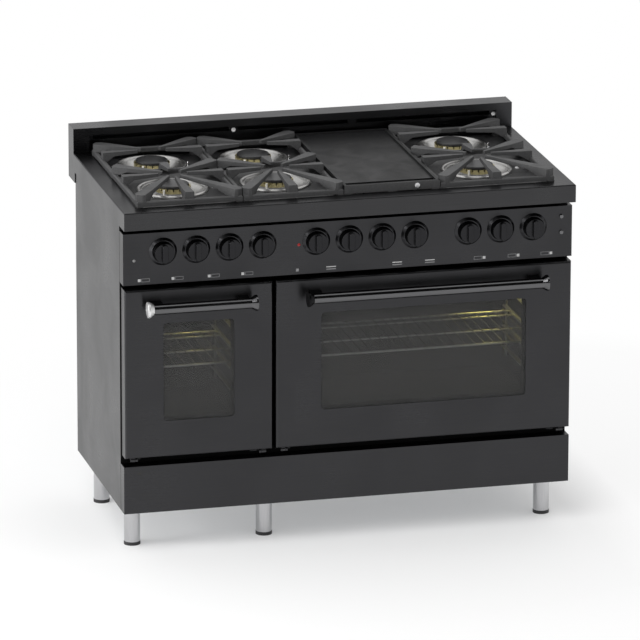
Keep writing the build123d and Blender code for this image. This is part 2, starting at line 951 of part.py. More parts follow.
def rack_guides():
    # ladder on each oven wall with a ledge for every rack level
    ladders = []
    y = (frame_back + guide_front, frame_back + cavity_depth - guide_rear)
    levels = [rack_z() + step * rack_pitch for step in range(-rack_steps_below, rack_steps_above + 1)]
    for door in (left_door, right_door):
        x, z = cavity_span(door)
        for wall, side in ((x[0], 1), (x[1], -1)):
            ledge_x = sorted((wall, wall + side * guide_depth))
            post_x = sorted((wall, wall + side * guide_bar))
            ladder = None
            for level in levels:
                ledge = block(ledge_x, y, (level - guide_bar, level))
                ladder = ledge if ladder is None else ladder + ledge
            for post_y in (y[0] + guide_post, y[1] - guide_post):
                ladder += block(post_x, (post_y - guide_post / 2, post_y + guide_post / 2),
                                (levels[0] - rack_pitch / 2, levels[-1] + rack_pitch / 2))
            ladders.append(ladder)
    return group(ladders)


def oven_racks():
    # flat grille of bars with cross rods, resting on the guides
    racks = []
    y = (frame_back + rack_front, frame_back + rack_front + rack_length)
    for door in (left_door, right_door):
        x = grown(cavity_span(door)[0], -guide_bar - rack_clearance)
        inside = (x[0] + rack_bar, x[1] - rack_bar)
        wires = max(2, round(length(inside) / rack_wire_pitch))
        bays = rack_cross_rods - 1
        wire_step = length(inside) / wires
        rod_step = (length(y) - rack_bar) / bays
        grille = Pos(middle(x), middle(y)) * Rectangle(length(x), length(y))
        holes = Pos(middle(x), middle(y)) * GridLocations(wire_step, rod_step, wires, bays)
        grille -= holes * Rectangle(wire_step - rack_wire, rod_step - rack_bar)
        racks.append(Pos(0, 0, rack_z()) * extrude(grille, rack_bar))
    return group(racks)


def oven_burners():
    # broil tube under each oven roof and bake tube under each oven floor, on straps
    burners = []
    y = (frame_back + broil_margin, frame_back + cavity_depth - broil_margin)
    for door in (left_door, right_door):
        x, z = cavity_span(door)
        run = grown(x, -broil_margin)
        broil_z = z[1] - broil_drop
        corners = ((run[0], y[0]), (run[0], y[1]), (run[1], y[1]), (run[1], y[0]))
        broil = tube([(*corner, broil_z) for corner in corners], broil_bend, broil_radius)
        for column in run:
            broil += block(around(column, strap_sheet), around(middle(y), strap_width), (broil_z, z[1]))
        bake_z = z[0] - bake_drop
        bake = along_y(middle(x), y, bake_z, bake_radius)
        for row in y:
            inward = row + strap_width if row == y[0] else row - strap_width
            bake += block(around(middle(x), strap_sheet), around(inward, strap_width), (bake_z, z[0] - skin))
        burners += [broil, bake]
    return group(burners)


def oven_lamps():
    # domed lamp glass on the right wall of each oven
    lens = turned((0, 0), (lamp_base, 0), (lamp_base, lamp_base_height), (lamp_lens, lamp_base_height),
                  (lamp_shoulder, lamp_base_height + lamp_shoulder), (0, lamp_base_height + lamp_lens_height))
    lamps = []
    for door in (left_door, right_door):
        x, z = cavity_span(door)
        place = Pos(x[1], frame_back + cavity_depth - lamp_back, z[1] - lamp_below) * Rot(0, -90, 0)
        lamps.append(place * lens)
    return group(lamps)


def all_parts():
    parts = {
        "side_panel_left": side_panel(-1),
        "side_panel_right": side_panel(1),
        "back_panel": back_panel(),
        "base_pan": base_pan(),
        "front_frame": front_frame(),
        "heat_shield": heat_shield(),
        "cooktop": cooktop(),
        "backguard": backguard(),
        "control_panel": control_panel(),
        "kick_panel": kick_panel(),
        "legs": legs(),
        "feet": feet(),
        "knob_bezels": knob_bezels(),
        "push_button_upper": button(upper_button_rise),
        "push_button_lower": button(lower_button_rise),
        "indicator_lamps": indicator_lamps(),
        "gas_manifold": gas_manifold(),
        "gas_valves": gas_valves(),
        "burner_feeds": burner_feeds(),
        "burner_bowls": at_burners(burner_bowl(), pan_top),
        "burner_bases": at_burners(burner_base(), pan_top - bowl_depth),
        "burner_heads": at_burners(burner_head(), head_bottom),
        "burner_caps": at_burners(burner_cap(), cap_bottom),
        "igniters": at_burners(igniter(), pan_top - bowl_depth + skin + base_flange_height),
        "grate_left": grate(left_bay),
        "grate_middle": grate(middle_bay),
        "grate_right": grate(right_bay),
        "griddle": griddle(),
        "griddle_burner": griddle_burner(),
        "left_oven_cavity": oven_cavity(left_door),
        "right_oven_cavity": oven_cavity(right_door),
        "rack_guides": rack_guides(),
        "oven_racks": oven_racks(),
        "oven_burners": oven_burners(),
        "oven_lamps": oven_lamps(),
        "door_gaskets": door_gaskets(),
        "hinge_brackets": hinge_brackets(),
    }
    for index, x in enumerate(knob_places(), 1):
        parts[f"knob_{index}"] = knob(x)
    doors = (("left", left_door, left_window_width, left_handle_inset),
             ("right", right_door, right_window_width, right_handle_inset))
    for side, door, window_width, inset in doors:
        parts[f"{side}_door_panel"] = door_panel(door, window_width)
        parts[f"{side}_door_glass"] = door_glass(door, window_width)
        parts[f"{side}_door_liner"] = door_liner(door, window_width)
        parts[f"{side}_door_hinges"] = door_hinges(door)
        parts[f"{side}_handle_bar"] = handle_bar(door, inset)
        parts[f"{side}_handle_posts"] = handle_posts(door, inset)
    return parts


os.makedirs("parts", exist_ok=True)
for name, shape in all_parts().items():
    export_step(shape, f"parts/{name}.step")
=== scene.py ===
import json
import math
import bmesh
import bpy
from mathutils import Matrix, Vector


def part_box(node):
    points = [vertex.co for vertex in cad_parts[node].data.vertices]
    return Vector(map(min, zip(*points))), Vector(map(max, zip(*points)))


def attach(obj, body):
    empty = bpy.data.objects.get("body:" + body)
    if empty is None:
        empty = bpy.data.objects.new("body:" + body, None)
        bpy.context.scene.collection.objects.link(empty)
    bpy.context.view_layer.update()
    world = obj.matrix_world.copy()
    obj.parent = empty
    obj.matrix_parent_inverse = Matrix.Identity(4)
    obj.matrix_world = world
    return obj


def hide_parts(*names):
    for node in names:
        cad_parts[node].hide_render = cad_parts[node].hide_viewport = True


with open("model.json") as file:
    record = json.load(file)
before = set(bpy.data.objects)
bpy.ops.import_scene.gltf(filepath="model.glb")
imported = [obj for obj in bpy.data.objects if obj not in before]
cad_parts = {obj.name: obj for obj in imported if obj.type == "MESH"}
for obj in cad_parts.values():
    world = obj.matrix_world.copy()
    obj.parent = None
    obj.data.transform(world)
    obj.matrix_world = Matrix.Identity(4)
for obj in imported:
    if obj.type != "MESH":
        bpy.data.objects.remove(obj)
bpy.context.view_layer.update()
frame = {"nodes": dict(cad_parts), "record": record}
scene = bpy.context.scene
nodes = frame["nodes"]
mm = 0.001
print("frame loaded:", len(nodes), "nodes")


def feed(tree, socket, value):
    if isinstance(value, bpy.types.NodeSocket):
        tree.links.new(value, socket)
    else:
        socket.default_value = value


def addNode(tree, kind, inputs=None, **settings):
    node = tree.nodes.new("ShaderNode" + kind)
    for key, value in settings.items():
        setattr(node, key, value)
    for key, value in (inputs or {}).items():
        feed(tree, node.inputs[key], value)
    return node


def math2(tree, operation, first, second):
    return addNode(tree, "Math", {0: first, 1: second}, operation=operation).outputs[0]


def remap(tree, value, fromLow, fromHigh, toLow=0.0, toHigh=1.0):
    limits = {"Value": value, "From Min": fromLow, "From Max": fromHigh, "To Min": toLow, "To Max": toHigh}
    return addNode(tree, "MapRange", limits).outputs["Result"]


def mixTone(tree, factor, first, second):
    return addNode(tree, "Mix", {0: factor, 6: first, 7: second}, data_type="RGBA").outputs[2]


def shade(tone, factor=1.0):
    return tuple(min(channel * factor, 1.0) for channel in tone) + (1.0,)


def makeGroup(name, inputs, outputs):
    tree = bpy.data.node_groups.new(name, "ShaderNodeTree")
    for key, (kind, value) in inputs.items():
        socket = tree.interface.new_socket(name=key, in_out="INPUT", socket_type="NodeSocket" + kind)
        socket.default_value = value
    for key, kind in outputs.items():
        tree.interface.new_socket(name=key, in_out="OUTPUT", socket_type="NodeSocket" + kind)
    return tree, tree.nodes.new("NodeGroupInput").outputs, tree.nodes.new("NodeGroupOutput").inputs


def objectPoint(tree):
    return addNode(tree, "TexCoord").outputs["Object"]


def buildBrushedGrain():  # long fine scratches, stretched along the way the sheet was brushed
    inputs = {"Stretch": ("Vector", (10, 800, 800))}
    tree, given, result = makeGroup("brushedGrain", inputs, {"Grain": "Float"})
    stretched = addNode(tree, "VectorMath", {0: objectPoint(tree), 1: given["Stretch"]}, operation="MULTIPLY")
    scratches = {"Vector": stretched.outputs[0], "Scale": 1.0, "Detail": 3.0, "Roughness": 0.6}
    feed(tree, result["Grain"], addNode(tree, "TexNoise", scratches).outputs[0])


def buildSmudge():  # slow clouds of wiping and handling
    tree, given, result = makeGroup("smudge", {"Scale": ("Float", 6.0)}, {"Cloud": "Float"})
    clouds = {"Vector": objectPoint(tree), "Scale": given["Scale"], "Detail": 4.0, "Distortion": 0.6}
    thin, dense = 0.34, 0.68
    feed(tree, result["Cloud"], remap(tree, addNode(tree, "TexNoise", clouds).outputs[0], thin, dense))


def buildSoftEdge():  # rounds the normal at sharp edges and marks where they are
    outputs = {"Normal": "Vector", "Edge": "Float"}
    tree, given, result = makeGroup("softEdge", {"Radius": ("Float", 0.001)}, outputs)
    bevel = addNode(tree, "Bevel", {"Radius": given["Radius"]}, samples=4)
    plain = addNode(tree, "NewGeometry").outputs["Normal"]
    turned = addNode(tree, "VectorMath", {0: bevel.outputs[0], 1: plain}, operation="DOT_PRODUCT")
    flat, sharp = 0.995, 0.82  # cosine of the turn from the plain normal
    feed(tree, result["Normal"], bevel.outputs[0])
    feed(tree, result["Edge"], remap(tree, turned.outputs["Value"], flat, sharp))


def buildCastSkin():  # pebbled sand-cast surface
    outputs = {"Height": "Float", "Tone": "Float"}
    tree, given, result = makeGroup("castSkin", {"Scale": ("Float", 700.0)}, outputs)
    point = objectPoint(tree)
    lumpScale, pebbleHeight, pebbleEdge = 0.28, 0.45, 0.7
    coarse = math2(tree, "MULTIPLY", given["Scale"], lumpScale)
    pebble = addNode(tree, "TexVoronoi", {"Vector": point, "Scale": given["Scale"]}, feature="SMOOTH_F1")
    lumps = {"Vector": point, "Scale": coarse, "Detail": 5.0, "Roughness": 0.65}
    lump = addNode(tree, "TexNoise", lumps).outputs[0]
    dip = remap(tree, pebble.outputs["Distance"], 0.0, pebbleEdge, 1.0, 0.0)
    feed(tree, result["Height"], math2(tree, "ADD", math2(tree, "MULTIPLY", dip, pebbleHeight), lump))
    feed(tree, result["Tone"], remap(tree, lump, 0.3, 0.7))


def buildFleck():  # small sparse specks
    inputs = {"Scale": ("Float", 400.0), "Share": ("Float", 0.2)}
    tree, given, result = makeGroup("fleck", inputs, {"Mask": "Float"})
    cells = addNode(tree, "TexVoronoi", {"Vector": objectPoint(tree), "Scale": given["Scale"]})
    lucky = addNode(tree, "SeparateColor", {0: cells.outputs["Color"]}).outputs[0]
    chosen = math2(tree, "LESS_THAN", lucky, given["Share"])
    core, rim = 0.22, 0.32  # radius of a speck within its cell
    spot = remap(tree, cells.outputs["Distance"], core, rim, 1.0, 0.0)
    feed(tree, result["Mask"], math2(tree, "MULTIPLY", chosen, spot))


def buildSpangle():  # zinc crystals of hot-dip coating
    tree, given, result = makeGroup("spangle", {"Scale": ("Float", 90.0)}, {"Tone": "Float"})
    bendScale, bendReach = 60.0, 0.012
    bent = addNode(tree, "TexNoise", {"Vector": objectPoint(tree), "Scale": bendScale, "Detail": 2.0})
    shift = addNode(tree, "VectorMath", {0: bent.outputs["Color"], 1: (bendReach,) * 3}, operation="MULTIPLY")
    moved = addNode(tree, "VectorMath", {0: objectPoint(tree), 1: shift.outputs[0]}, operation="ADD")
    cells = addNode(tree, "TexVoronoi", {"Vector": moved.outputs[0], "Scale": given["Scale"]})
    feed(tree, result["Tone"], addNode(tree, "SeparateColor", {0: cells.outputs["Color"]}).outputs[1])


def buildBraid():  # knitted sleeve of the door seal
    tree, given, result = makeGroup("braid", {"Scale": ("Float", 330.0)}, {"Height": "Float"})
    point = objectPoint(tree)
    fullTurn = 6.283
    ways = []
    for direction in ((1.0, 0.0, 1.0), (1.0, 0.0, -1.0)):
        along = addNode(tree, "VectorMath", {0: point, 1: direction}, operation="DOT_PRODUCT")
        waves = math2(tree, "MULTIPLY", given["Scale"], fullTurn)
        turn = math2(tree, "MULTIPLY", along.outputs["Value"], waves)
        ways.append(math2(tree, "SINE", turn, 0.0))
    feed(tree, result["Height"], math2(tree, "MAXIMUM", *ways))


for build in (buildBrushedGrain, buildSmudge, buildSoftEdge, buildCastSkin, buildFleck, buildSpangle,
              buildBraid):
    build()


def addGroup(tree, name, inputs):
    node = tree.nodes.new("ShaderNodeGroup")
    node.node_tree = bpy.data.node_groups[name]
    for key, value in inputs.items():
        feed(tree, node.inputs[key], value)
    return node.outputs


def smudged(tree, scale):
    return addGroup(tree, "smudge", {"Scale": scale})["Cloud"]


def softened(tree, edge):
    return addGroup(tree, "softEdge", {"Radius": edge * mm})


def twoTone(tree, mask, tone, contrast):
    return mixTone(tree, mask, *(shade(tone, factor) for factor in contrast))


def bumped(tree, height, depth, normal=None):
    inputs = {"Height": height, "Distance": depth * mm, "Strength": 1.0}
    if normal:
        inputs["Normal"] = normal
    return addNode(tree, "Bump", inputs).outputs[0]


def startFinish(name):
    material = bpy.data.materials.new(name)
    material.use_nodes = True
    tree = material.node_tree
    return material, tree, tree.nodes["Principled BSDF"]


def dress(tree, shader, looks):
    for key, value in looks.items():
        feed(tree, shader.inputs[key], value)


metalLook = {"smear": 5.0, "edge": 0.8, "contrast": (0.86, 1.14), "wiped": (0.3, 1.5),
             "rubbed": (0.2, 0.9, 0.3, 1.0)}  # rubbed: where along the edges the finish has worn


def metalFinish(name, tone, roughness, brush=(1, 0, 0), grain=(10, 800, 800), depth=0.012, spread=0.05,
                wear=1.6, anisotropy=0.0, rim=1.0):
    material, tree, shader = startFinish(name)
    scratch = addGroup(tree, "brushedGrain", {"Stretch": grain})["Grain"]
    cloud = smudged(tree, metalLook["smear"])
    corner = softened(tree, metalLook["edge"])
    brushed = twoTone(tree, scratch, tone, metalLook["contrast"])
    worn = math2(tree, "MULTIPLY", corner["Edge"], remap(tree, cloud, *metalLook["rubbed"]))
    wiped = math2(tree, "ADD", cloud, scratch)
    dress(tree, shader, {
        "Base Color": mixTone(tree, worn, brushed, shade(tone, wear)),
        "Roughness": remap(tree, wiped, *metalLook["wiped"], roughness - spread, roughness + spread),
        "Normal": bumped(tree, scratch, depth, corner["Normal"]),
        "Metallic": 1.0, "Specular Tint": (rim, rim, rim, 1.0), "Anisotropic": anisotropy})
    if anisotropy:
        facing = addNode(tree, "NewGeometry").outputs["Normal"]
        across = addNode(tree, "VectorMath", {0: brush, 1: facing}, operation="CROSS_PRODUCT")
        feed(tree, shader.inputs["Tangent"], across.outputs[0])
    return material


castLook = {"smear": 14.0, "edge": 1.5, "contrast": (0.78, 1.2), "rubbed": (0.0, 1.0, 0.25, 0.9),
            "spread": 0.06}


def castFinish(name, tone, roughness, metallic=0.0, skin=700.0, depth=0.12, wear=1.5, gloss=0.5):
    material, tree, shader = startFinish(name)
    cast = addGroup(tree, "castSkin", {"Scale": skin})
    corner = softened(tree, castLook["edge"])
    cloud = smudged(tree, castLook["smear"])
    pebbled = twoTone(tree, cast["Tone"], tone, castLook["contrast"])
    worn = math2(tree, "MULTIPLY", corner["Edge"], remap(tree, cloud, *castLook["rubbed"]))
    spread = castLook["spread"]
    dress(tree, shader, {
        "Base Color": mixTone(tree, worn, pebbled, shade(tone, wear)),
        "Roughness": remap(tree, cloud, 0.0, 1.0, roughness - spread, roughness + spread),
        "Normal": bumped(tree, cast["Height"], depth, corner["Normal"]),
        "Metallic": metallic, "Specular IOR Level": gloss})
    return material


enamelLook = {"smear": 7.0, "edge": 1.2, "contrast": (0.88, 1.12), "specks": 420.0, "smoother": 0.05,
              "duller": 0.08}


def enamelFinish(name, tone, roughness, speck=(0.5, 0.5, 0.52), share=0.16, peel=160.0, depth=0.03,
                 gloss=0.5):
    material, tree, shader = startFinish(name)
    mask = addGroup(tree, "fleck", {"Scale": enamelLook["specks"], "Share": share})["Mask"]
    cloud = smudged(tree, enamelLook["smear"])
    corner = softened(tree, enamelLook["edge"])
    ripples = {"Vector": objectPoint(tree), "Scale": peel, "Detail": 2.0}
    ripple = addNode(tree, "TexNoise", ripples).outputs[0]
    coated = twoTone(tree, cloud, tone, enamelLook["contrast"])
    limits = (roughness - enamelLook["smoother"], roughness + enamelLook["duller"])
    dress(tree, shader, {
        "Base Color": mixTone(tree, mask, coated, shade(speck)),
        "Roughness": remap(tree, cloud, 0.0, 1.0, *limits),
        "Normal": bumped(tree, ripple, depth, corner["Normal"]),
        "Specular IOR Level": gloss})
    return material


rubberLook = {"skin": 1500.0, "smear": 30.0, "edge": 0.6, "contrast": (0.9, 1.1), "spread": 0.05,
              "depth": 0.02}


def rubberFinish(name, tone, roughness):
    material, tree, shader = startFinish(name)
    texture = addGroup(tree, "castSkin", {"Scale": rubberLook["skin"]})
    cloud = smudged(tree, rubberLook["smear"])
    corner = softened(tree, rubberLook["edge"])
    spread = rubberLook["spread"]
    dress(tree, shader, {
        "Base Color": twoTone(tree, texture["Tone"], tone, rubberLook["contrast"]),
        "Roughness": remap(tree, cloud, 0.0, 1.0, roughness - spread, roughness + spread),
        "Normal": bumped(tree, texture["Height"], rubberLook["depth"], corner["Normal"])})
    return material


zincLook = {"crystal": 90.0, "smear": 5.0, "edge": 0.8, "contrast": (0.9, 1.07), "spread": 0.12,
            "depth": 0.01}


def zincFinish(name, tone, roughness):
    material, tree, shader = startFinish(name)
    crystal = addGroup(tree, "spangle", {"Scale": zincLook["crystal"]})["Tone"]
    cloud = smudged(tree, zincLook["smear"])
    corner = softened(tree, zincLook["edge"])
    dulled = math2(tree, "ADD", crystal, cloud)
    spread = zincLook["spread"]
    dress(tree, shader, {
        "Base Color": twoTone(tree, crystal, tone, zincLook["contrast"]),
        "Roughness": remap(tree, dulled, 0.0, 2.0, roughness - spread, roughness + spread),
        "Normal": bumped(tree, crystal, zincLook["depth"], corner["Normal"]),
        "Metallic": 1.0})
    return material


braidLook = {"scale": 330.0, "smear": 20.0, "contrast": (0.55, 1.1), "soot": 0.8, "depth": 0.4,
             "roughness": 0.9}


def braidFinish(name, tone):
    material, tree, shader = startFinish(name)
    weave = addGroup(tree, "braid", {"Scale": braidLook["scale"]})["Height"]
    cloud = smudged(tree, braidLook["smear"])
    strands = twoTone(tree, remap(tree, weave, -1.0, 1.0), tone, braidLook["contrast"])
    dress(tree, shader, {
        "Base Color": mixTone(tree, cloud, strands, shade(tone, braidLook["soot"])),
        "Normal": bumped(tree, weave, braidLook["depth"]),
        "Roughness": braidLook["roughness"]})
    return material


paneLook = {"smear": 9.0, "haze": 0.02, "clear": 0.965, "bend": 1.08}


def paneFinish(name, tone):
    material, tree, shader = startFinish(name)
    cloud = smudged(tree, paneLook["smear"])
    dress(tree, shader, {
        "Base Color": shade(tone), "Roughness": remap(tree, cloud, 0.0, 1.0, 0.0, paneLook["haze"]),
        "Transmission Weight": paneLook["clear"], "IOR": paneLook["bend"]})
    return material


lensLook = {"smear": 60.0, "edge": 0.8, "contrast": (0.85, 1.1), "glow": (0.8, 1.0),
            "roughness": (0.12, 0.22)}


def lensFinish(name, tone, glow, strength):
    material, tree, shader = startFinish(name)
    cloud = smudged(tree, lensLook["smear"])
    dress(tree, shader, {
        "Base Color": twoTone(tree, cloud, tone, lensLook["contrast"]),
        "Roughness": remap(tree, cloud, 0.0, 1.0, *lensLook["roughness"]),
        "Normal": softened(tree, lensLook["edge"])["Normal"],
        "Emission Color": twoTone(tree, cloud, glow, lensLook["glow"]),
        "Emission Strength": strength})
    return material


inkLook = {"specks": 2500.0, "share": 0.3, "contrast": (1.0, 0.6), "roughness": (0.45, 0.6)}


def inkFinish(name, tone):
    material, tree, shader = startFinish(name)
    gap = addGroup(tree, "fleck", {"Scale": inkLook["specks"], "Share": inkLook["share"]})["Mask"]
    dress(tree, shader, {
        "Base Color": twoTone(tree, gap, tone, inkLook["contrast"]),
        "Roughness": remap(tree, gap, 0.0, 1.0, *inkLook["roughness"])})
    return material


blackSheet = {"tone": (0.05, 0.05, 0.0525), "roughness": 0.3, "brush": (1, 0.05, 0), "anisotropy": 0.75,
              "rim": 0.82}
sideSheet = {**blackSheet, "brush": (0.05, 1, 0), "grain": (800, 10, 800)}
finishes = {
    "black_steel": metalFinish("blackSteel", **blackSheet),
    "side_steel": metalFinish("sideSteel", **sideSheet),
    "galvanised": zincFinish("galvanised", (0.56, 0.58, 0.6), 0.42),
    "leg_steel": metalFinish("legSteel", (0.52, 0.52, 0.53), 0.1, grain=(900, 900, 25), depth=0.004,
                             spread=0.03),
    "foot_black": rubberFinish("footRubber", (0.018, 0.018, 0.019), 0.55),
    "knob_black": metalFinish("knobBlack", (0.03, 0.03, 0.032), 0.28, grain=(500, 500, 500), depth=0.006,
                              wear=2.2),
    "bezel_black": metalFinish("bezelBlack", (0.05, 0.05, 0.053), 0.3, grain=(400, 400, 400), depth=0.004),
    "bowl_steel": metalFinish("bowlSteel", (0.5, 0.495, 0.485), 0.34, grain=(120, 120, 120), depth=0.002,
                              wear=1.2),
    "burner_aluminium": castFinish("burnerAluminium", (0.52, 0.52, 0.52), 0.45, metallic=1.0, depth=0.05,
                                   wear=1.3),
    "burner_brass": metalFinish("burnerBrass", (0.56, 0.49, 0.26), 0.3, grain=(700, 700, 90), depth=0.01,
                                wear=1.25),
    "cap_enamel": enamelFinish("capEnamel", (0.016, 0.016, 0.017), 0.38, speck=(0.05, 0.05, 0.05), depth=0.05),
    "igniter_ceramic": enamelFinish("igniterCeramic", (0.78, 0.76, 0.7), 0.3, speck=(0.6, 0.55, 0.45),
                                    share=0.05),
    "grate_iron": castFinish("grateIron", (0.045, 0.045, 0.046), 0.56, depth=0.14, gloss=0.4),
    "griddle_iron": castFinish("griddleIron", (0.012, 0.012, 0.0125), 0.42, skin=500.0, depth=0.06,
                               gloss=0.06),
    # the cavity enamel is dark, and is made near black without specks as painted shade of the closed oven
    "oven_enamel": enamelFinish("ovenEnamelPaintedShade", (0.004, 0.004, 0.004), 0.6, share=0.0, peel=20.0, depth=0.002,
                                gloss=0.04),
    "rack_chrome": metalFinish("rackChrome", (0.88, 0.88, 0.87), 0.32, grain=(300, 300, 300), depth=0.003,
                               wear=1.1),
    "door_glass": paneFinish("doorGlass", (0.62, 0.62, 0.615)),
    "lamp_glass": lensFinish("lampGlass", (0.8, 0.7, 0.45), (1.0, 0.78, 0.36), 5.0),
    "indicator": lensFinish("pilotLens", (0.16, 0.16, 0.16), (0.7, 0.7, 0.7), 0.03),
    "button_black": metalFinish("buttonBlack", (0.16, 0.16, 0.165), 0.2, grain=(600, 600, 600), depth=0.004),
    "gasket_grey": braidFinish("gasketGrey", (0.16, 0.16, 0.155)),
    "handle_black": metalFinish("handleBlack", (0.13, 0.13, 0.134), 0.14, grain=(12, 900, 900), depth=0.004,
                                rim=0.5),
    "post_black": metalFinish("postBlack", (0.014, 0.014, 0.015), 0.34, grain=(400, 400, 400), depth=0.006),
    "hinge_steel": zincFinish("hingeSteel", (0.06, 0.06, 0.063), 0.4),
    "gas_brass": castFinish("gasBrass", (0.62, 0.44, 0.2), 0.36, metallic=1.0, depth=0.03, wear=1.3),
    "pipe_steel": castFinish("pipeSteel", (0.11, 0.11, 0.115), 0.48, metallic=1.0, skin=1100.0, depth=0.03),
    "feed_aluminium": metalFinish("feedAluminium", (0.7, 0.7, 0.71), 0.28, grain=(90, 700, 700), depth=0.01),
}
warningLens = lensFinish("warningLens", (0.2, 0.012, 0.012), (1.0, 0.06, 0.05), 0.1)
brightSteel = metalFinish("brightSteel", (0.74, 0.74, 0.75), 0.24, grain=(500, 500, 500), depth=0.004,
                          wear=1.1)
lampSocket = enamelFinish("lampSocket", (0.5, 0.48, 0.44), 0.4, share=0.03)
# wiresPaintedShade: the rack wires get a dark copy of the rack chrome, painted shade for wires that sit unlit
# in the cavity
wiresPaintedShade = metalFinish("wiresPaintedShade", (0.16, 0.155, 0.14), 0.4, grain=(300, 300, 300), depth=0.003, wear=1.1)
capSteel = metalFinish("capSteel", (0.92, 0.92, 0.92), 0.45, grain=(500, 500, 500), depth=0.004, wear=1.05)
# screwPaintedGlint: near-white enamel on the guard screws and pan bolts, a painted highlight standing in for
# their glint
screwPaintedGlint = enamelFinish("screwPaintedGlint", (0.84, 0.84, 0.84), 0.3, speck=(0.7, 0.7, 0.7), share=0.06)
# railPaintedLight: the black sheet a shade lighter, painted light on the cooktop rail's front faces
railPaintedLight = metalFinish("railPaintedLight", **{**blackSheet, "tone": (0.058, 0.058, 0.06)})
# guardTopPaintedLight: the black sheet lighter and brighter at grazing, painted light on the backguard's top
# faces
guardTopPaintedLight = metalFinish("guardTopPaintedLight", **{**blackSheet, "tone": (0.07, 0.07, 0.073), "rim": 0.95})
panEnamel = enamelFinish("panEnamel", (0.022, 0.022, 0.023), 0.5, speck=(0.035, 0.035, 0.036), gloss=0.45)
whiteInk = inkFinish("whiteInk", (0.42, 0.42, 0.42))
greyInk = inkFinish("greyInk", (0.2, 0.2, 0.205))

for part in frame["record"]["subparts"]:
    shown = nodes[part["node"]].data.materials
    shown.clear()
    shown.append(finishes[part["material_slot"]])
print("finishes:", len(bpy.data.materials))


def paintFaces(node, finish, chosen):  # a second finish on the faces whose middle is chosen
    data = nodes[node].data
    data.materials.append(finish)
    for face in data.polygons:
        if chosen(face.center):
            face.material_index = len(data.materials) - 1


accents = {"lampInset": 12.0, "lampSkirt": 5.1, "redLamp": -300.0, "griddleFront": -271.4,
           "griddleBolt": -271.6, "panDepth": 14.0, "slack": 0.5, "skin": 1.0, "handleCap": 15.8}  # millimetres
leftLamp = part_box("left_oven_cavity")[1].x - accents["lampInset"] * mm
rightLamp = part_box("right_oven_cavity")[1].x - accents["lampInset"] * mm
lampSkirt = accents["lampSkirt"] * mm
cookLow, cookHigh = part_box("cooktop")
guardLow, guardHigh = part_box("backguard")
panLevel = cookHigh.z - accents["panDepth"] * mm
paintFaces("indicator_lamps", warningLens, lambda spot: spot.x > accents["redLamp"] * mm)
paintFaces("oven_lamps", lampSocket, lambda spot: leftLamp - lampSkirt < spot.x < leftLamp + lampSkirt)
paintFaces("oven_lamps", lampSocket, lambda spot: spot.x > rightLamp - lampSkirt)
# the griddle's front faces take the lighter, glossier grate iron: painted light for the light its front lip
# catches
paintFaces("griddle", finishes["grate_iron"], lambda spot: spot.y < accents["griddleFront"] * mm)
paintFaces("griddle", brightSteel, lambda spot: spot.y < accents["griddleBolt"] * mm)
paintFaces("cooktop", panEnamel, lambda spot: abs(spot.z - panLevel) < accents["slack"] * mm)
# cooktop front faces: lighter copy of the black sheet, painted light
paintFaces("cooktop", railPaintedLight, lambda spot: spot.y < cookLow.y + accents["skin"] * mm)
# backguard top faces: lighter copy of the black sheet, painted light
paintFaces("backguard", guardTopPaintedLight, lambda spot: spot.z > guardHigh.z - accents["skin"] * mm)
# the left handle's flared left cap is painted bright steel, a painted highlight, and the right handle's flared
# left cap is painted near black, painted shade
for node, finish in (("left_handle_bar", capSteel), ("right_handle_bar", finishes["post_black"])):
    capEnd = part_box(node)[0].x + accents["handleCap"] * mm  # inner end of the flared left cap
    paintFaces(node, finish, lambda spot: spot.x < capEnd)


def circle(step, steps):
    turn = 2 * math.pi * step / steps
    return math.cos(turn), math.sin(turn)


def lathe(mesh, place, profile, steps=24):
    # each step of the profile is radius and height in millimetres, with an optional pattern of radius factors
    rings = []
    for radius, height, *pattern in profile:
        if radius == 0:
            rings.append([mesh.verts.new(place @ Vector((0, 0, height * mm)))])
            continue
        factors = pattern[0] if pattern else (1,)
        ring = []
        for step in range(steps):
            reach = radius * mm * factors[step % len(factors)]
            across, up = circle(step, steps)
            ring.append(mesh.verts.new(place @ Vector((reach * across, reach * up, height * mm))))
        rings.append(ring)
    for low, high in zip(rings, rings[1:]):
        for step in range(steps):
            after = step + 1
            corners = (low[step % len(low)], low[after % len(low)],
                       high[after % len(high)], high[step % len(high)])
            mesh.faces.new(list(dict.fromkeys(corners)))


def tube(mesh, points, radius, sides=10, closed=False):
    count = len(points)
    rings = []
    for index, point in enumerate(points):
        before = points[index - 1] if index or closed else point
        after = points[(index + 1) % count] if index + 1 < count or closed else point
        along = (after - before).normalized()
        upright = abs(along.z) >= 0.9
        side = along.cross(Vector((1, 0, 0)) if upright else Vector((0, 0, 1))).normalized()
        rise = side.cross(along)
        ring = []
        for step in range(sides):
            across, up = circle(step, sides)
            ring.append(mesh.verts.new(point + radius * (across * side + up * rise)))
        rings.append(ring)
    pairs = zip(rings, rings[1:] + rings[:1]) if closed else zip(rings, rings[1:])
    for low, high in pairs:
        for step in range(sides):
            after = (step + 1) % sides
            mesh.faces.new((low[step], low[after], high[after], high[step]))
    if not closed:
        mesh.faces.new(rings[0][::-1])
        mesh.faces.new(rings[-1])


def roundedLoop(x, y, z, radius, steps=6):
    # rectangle with rounded corners, lying flat
    loop = []
    corners = ((x[1], y[1], 0), (x[0], y[1], 1), (x[0], y[0], 2), (x[1], y[0], 3))
    for cornerX, cornerY, quarter in corners:
        centreX = cornerX + (radius if cornerX == x[0] else -radius)
        centreY = cornerY + (radius if cornerY == y[0] else -radius)
        for step in range(steps + 1):
            turn = math.pi / 2 * (quarter + step / steps)
            loop.append(Vector((centreX + radius * math.cos(turn), centreY + radius * math.sin(turn), z)))
    return loop


